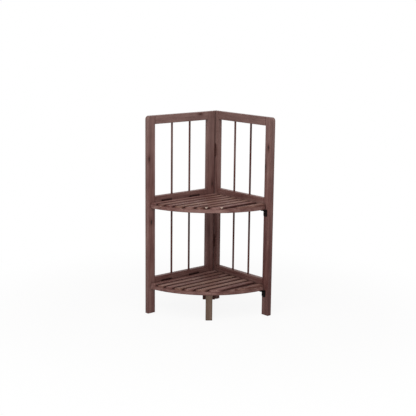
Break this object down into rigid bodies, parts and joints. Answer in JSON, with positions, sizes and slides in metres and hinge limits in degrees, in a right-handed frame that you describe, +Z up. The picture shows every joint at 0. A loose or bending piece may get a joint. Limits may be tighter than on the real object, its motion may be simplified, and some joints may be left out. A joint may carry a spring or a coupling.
{
  "type": "corner rack",
  "caption": "Folding wooden corner rack: barred side frames hinged in the corner, quarter-round slatted shelves that fold up, and a front leg that folds under.",
  "frame": {"origin": "on the floor, in the middle of the rack's overall width and depth", "axes": "+Z up, +X along the right frame away from the corner, +Y back toward the wall behind the right frame"},
  "size_m": [0.26, 0.2794, 0.6],
  "materials": {
    "frame_wood": "dark reddish-brown stain, satin",
    "shelf_wood": "dark reddish-brown stain, satin",
    "black_steel": "black, semi-gloss"
  },
  "bodies": {
    "left_frame": {"corner_hinge_left_leaves": "black_steel", "corner_hinge_pins": "black_steel", "left_corner_stile": "frame_wood", "left_frame_screws": "black_steel", "left_front_stile": "frame_wood", "left_lower_bar_1": "frame_wood", "left_lower_bar_2": "frame_wood", "left_lower_rail": "frame_wood", "left_middle_rail": "frame_wood", "left_top_rail": "frame_wood", "left_upper_bar_1": "frame_wood", "left_upper_bar_2": "frame_wood", "lower_hinge_pins": "black_steel", "lower_hinge_rail_leaves": "black_steel", "upper_hinge_pins": "black_steel", "upper_hinge_rail_leaves": "black_steel"},
    "right_frame": {"corner_hinge_right_leaves": "black_steel", "lower_bracket": "black_steel", "right_corner_stile": "frame_wood", "right_frame_screws": "black_steel", "right_front_stile": "frame_wood", "right_lower_bar_1": "frame_wood", "right_lower_bar_2": "frame_wood", "right_lower_rail": "frame_wood", "right_middle_rail": "frame_wood", "right_top_rail": "frame_wood", "right_upper_bar_1": "frame_wood", "right_upper_bar_2": "frame_wood", "upper_bracket": "black_steel"},
    "upper_shelf": {"upper_back_batten": "shelf_wood", "upper_hinge_batten": "shelf_wood", "upper_hinge_shelf_leaves": "black_steel", "upper_rim": "shelf_wood", "upper_shelf_screws": "black_steel", "upper_slat_1": "shelf_wood", "upper_slat_2": "shelf_wood", "upper_slat_3": "shelf_wood", "upper_slat_4": "shelf_wood", "upper_slat_5": "shelf_wood", "upper_slat_6": "shelf_wood", "upper_slat_7": "shelf_wood", "upper_slat_8": "shelf_wood"},
    "lower_shelf": {"leg_hinge_pin": "black_steel", "leg_hinge_shelf_leaf": "black_steel", "lower_back_batten": "shelf_wood", "lower_hinge_batten": "shelf_wood", "lower_hinge_shelf_leaves": "black_steel", "lower_rim": "shelf_wood", "lower_shelf_screws": "black_steel", "lower_slat_1": "shelf_wood", "lower_slat_2": "shelf_wood", "lower_slat_3": "shelf_wood", "lower_slat_4": "shelf_wood", "lower_slat_5": "shelf_wood", "lower_slat_6": "shelf_wood", "lower_slat_7": "shelf_wood", "lower_slat_8": "shelf_wood"},
    "front_leg": {"front_leg": "frame_wood", "leg_hinge_leg_leaf": "black_steel", "leg_screws": "black_steel"}
  },
  "joints": [
    {"name": "frame_fold", "type": "hinge", "parent": "left_frame", "child": "right_frame", "pos_m": [-0.1128, 0.1225, 0], "axis": [0, 0, -1], "range_deg": [0, 0.8]},
    {"name": "upper_shelf_fold", "type": "hinge", "parent": "left_frame", "child": "upper_shelf", "pos_m": [-0.1128, -0.0153, 0.3452], "axis": [0, -1, 0], "range_deg": [0, 90]},
    {"name": "lower_shelf_fold", "type": "hinge", "parent": "left_frame", "child": "lower_shelf", "pos_m": [-0.1128, -0.0153, 0.0972], "axis": [0, -1, 0], "range_deg": [0, 90]},
    {"name": "leg_fold", "type": "hinge", "parent": "lower_shelf", "child": "front_leg", "pos_m": [0.03903, -0.03104, 0.0758], "axis": [0.6428, 0.766, 0], "range_deg": [0, 90]}
  ]
}
